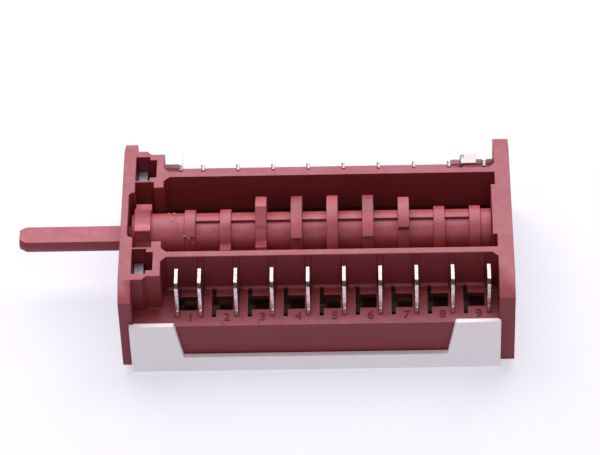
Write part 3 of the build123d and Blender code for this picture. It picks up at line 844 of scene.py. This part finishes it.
def add_level_numbers():
    """Plain numbers moulded on the front ledge, each before its tab, between slots and outer edge."""
    letter_size = 3.312
    boldness = 0.05
    rise = 0.14
    sink = 0.05
    before_tab = 2.8
    row_place = -23.3
    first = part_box("terminal_front_1")[1].x
    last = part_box(f"terminal_front_{LEVELS}")[1].x
    tree = level_numbers_tree()
    holder = add_object("level_numbers_row", bpy.data.meshes.new("level_numbers_row"))
    row = holder.modifiers.new("row", "NODES")
    row.node_group = tree
    values = {
        "Levels": LEVELS,
        "First Place": (first - before_tab * MM, row_place * MM, (LEDGE_TOP - sink) * MM),
        "Pitch": ((last - first) / (LEVELS - 1), 0.0, 0.0),
        "Letter Size": letter_size * MM,
        "Boldness": boldness * MM,
        "Thickness": (rise + sink) * MM,
        "Finish": number_red,
    }
    for name, value in values.items():
        row[tree.interface.items_tree[name].identifier] = value
    mesh = take_mesh(holder)
    mesh.materials.pop(index=0)
    add_piece("level_numbers", mesh, switch_body)


add_level_numbers()


# ---------------------------------------------------------------- small marks of moulding and wear
def add_marks(name, body, finish, marks):
    """Little flat mounds: each has a place, lean about X, turn on its surface, length, width and rise."""
    pieces = bmesh.new()
    for place, lean, turn, length, width, rise in marks:
        shape = Matrix.Diagonal((length / 2, width / 2, rise, 1))
        turned = Matrix.Rotation(math.radians(lean), 4, "X") @ Matrix.Rotation(math.radians(turn), 4, "Z")
        where = Matrix.Scale(MM, 4) @ Matrix.Translation(place) @ turned @ shape
        bmesh.ops.create_icosphere(pieces, subdivisions=1, radius=1.0, matrix=where)
    mesh = bpy.data.meshes.new(name)
    pieces.to_mesh(mesh)
    pieces.free()
    mesh.materials.append(finish)
    add_piece(name, mesh, body)


def on_drum(x, angle, radius):
    """A point on the drum, by its angle from +Y towards +Z, and the lean of the surface there."""
    turn = math.radians(angle)
    return (x, radius * math.cos(turn), radius * math.sin(turn)), angle - 90


add_marks(
    "drum_crumbs",
    drum_body,
    chipped_red,
    [
        (*on_drum(11.0, 50, BARREL_RADIUS), 0, 0.8, 0.5, 0.16),
        (*on_drum(12.3, 48, BARREL_RADIUS), 20, 0.9, 0.5, 0.2),
        (*on_drum(15.0, 132, RING_RADIUS), -10, 1.1, 0.4, 0.04),
        (*on_drum(15.9, 136, RING_RADIUS), -35, 0.9, 0.45, 0.04),
        (*on_drum(16.9, 146, RING_RADIUS), -20, 0.5, 0.3, 0.03),
    ],
)
add_marks(
    "drum_scar",
    drum_body,
    drum_red,
    [
        (*on_drum(10.6, 82, BARREL_RADIUS), 10, 1.5, 0.5, 0.09),
        (*on_drum(11.5, 90, BARREL_RADIUS), -40, 1.4, 0.5, 0.1),
        (*on_drum(12.4, 86, BARREL_RADIUS), 55, 1.3, 0.5, 0.1),
        (*on_drum(13.1, 97, BARREL_RADIUS), -65, 1.2, 0.5, 0.09),
    ],
)
add_marks(
    "wall_dashes",
    switch_body,
    number_red,
    [
        ((24.4, 13.5, WALL_TOP), 0, 0, 1.3, 0.16, 0.03),
        ((33.2, 13.6, WALL_TOP), 0, 4, 1.0, 0.14, 0.03),
        ((23.9, -25.2, LEDGE_TOP), 0, 90, 2.0, 0.22, 0.05),
        ((32.4, -25.2, LEDGE_TOP), 0, 90, 2.0, 0.22, 0.05),
    ],
)
add_marks(
    "wall_chips",
    switch_body,
    chipped_red,
    [
        ((41.0, -12.3, WALL_TOP), 0, 15, 0.5, 0.25, 0.06),
        ((42.1, -12.4, WALL_TOP), 0, -10, 0.4, 0.2, 0.05),
    ],
)


# ---------------------------------------------------------------- floor, lights and camera
def add_floor(reach, height):
    """Pale floor that stays nearly white to the camera and keeps the switch's soft shadow.

    It also glows to diffuse rays, so that it lights the upright faces as a white table does.
    """
    camera_share = 0.6
    mesh = bpy.data.meshes.new("floor")
    corners = [(-reach, -reach), (reach, -reach), (reach, reach), (-reach, reach)]
    mesh.from_pydata([(x, y, height) for x, y in corners], [], [(0, 1, 2, 3)])
    floor = add_object("floor", mesh)
    material, tree, shader = blank_material("floor_white")
    tree.nodes.remove(shader)
    matte = tree.nodes.new("ShaderNodeBsdfDiffuse")
    matte.inputs["Color"].default_value = (0.73, 0.69, 0.8, 1)
    glow = tree.nodes.new("ShaderNodeEmission")
    glow.inputs["Color"].default_value = (0.935, 0.93, 1.0, 1)
    rays = tree.nodes.new("ShaderNodeLightPath").outputs
    mixer = tree.nodes.new("ShaderNodeMixShader")
    seen = times(tree, rays["Is Camera Ray"], camera_share)
    feed(tree, mixer.inputs[0], plus(tree, seen, rays["Is Diffuse Ray"], clamp=True))
    feed(tree, mixer.inputs[1], matte.outputs[0])
    feed(tree, mixer.inputs[2], glow.outputs[0])
    feed(tree, tree.nodes["Material Output"].inputs["Surface"], mixer.outputs[0])
    mesh.materials.append(material)


def add_softbox(name, place, aim, width, height, power):
    lamp = bpy.data.lights.new(name, "AREA")
    lamp.shape = "RECTANGLE"
    lamp.size = width
    lamp.size_y = height
    lamp.energy = power
    softbox = add_object(name, lamp)
    softbox.location = place
    softbox.rotation_euler = (Vector(aim) - Vector(place)).to_track_quat("-Z", "Y").to_euler()


def light_world(fill, backdrop):
    """A dim fill, and a pale backdrop for the camera and for what metal and gloss mirror."""
    world = bpy.data.worlds.new("studio")
    scene.world = world
    world.use_nodes = True
    tree = world.node_tree
    background = tree.nodes["Background"]
    rays = tree.nodes.new("ShaderNodeLightPath").outputs
    seen = larger(tree, rays["Is Camera Ray"], rays["Is Glossy Ray"])
    seen = larger(tree, seen, rays["Is Transmission Ray"])
    feed(tree, background.inputs["Strength"], plus(tree, times(tree, seen, backdrop), fill))
    background.inputs["Color"].default_value = (0.97, 0.97, 1.0, 1)


def add_camera(place, tilt, turn, roll, focal_length):
    """Looks down on the switch from the front, turned and rolled a little; angles in degrees."""
    tilt = math.radians(tilt)
    turn = math.radians(turn)
    roll = math.radians(roll)
    right = Vector((math.cos(turn), -math.sin(turn), 0))
    up = Vector((math.sin(turn) * math.sin(tilt), math.cos(turn) * math.sin(tilt), math.cos(tilt)))
    back = right.cross(up)
    rolled_right = right * math.cos(roll) + up * math.sin(roll)
    rolled_up = up * math.cos(roll) - right * math.sin(roll)
    turned = Matrix((rolled_right, rolled_up, back)).transposed().to_4x4()
    lens = bpy.data.cameras.new("camera")
    lens.sensor_width = 36
    lens.lens = focal_length
    camera = add_object("camera", lens)
    camera.matrix_world = Matrix.Translation(place) @ turned
    scene.camera = camera


SWITCH_MIDDLE = (0.045, 0, 0)
add_floor(reach=6.0, height=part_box("base_cover")[0].z)
add_softbox("back_softbox", (0.0, 0.48, 0.7), SWITCH_MIDDLE, width=1.3, height=1.0, power=18.6)
add_softbox("front_softbox", (-0.02, -0.48, 0.68), SWITCH_MIDDLE, width=0.8, height=0.5, power=2.1)
light_world(fill=0.08, backdrop=0.89)
add_camera((0.06094, -0.56244, 0.59317), tilt=46.38, turn=-1.911, roll=-2.324, focal_length=206.36)
scene.view_settings.view_transform = "Standard"
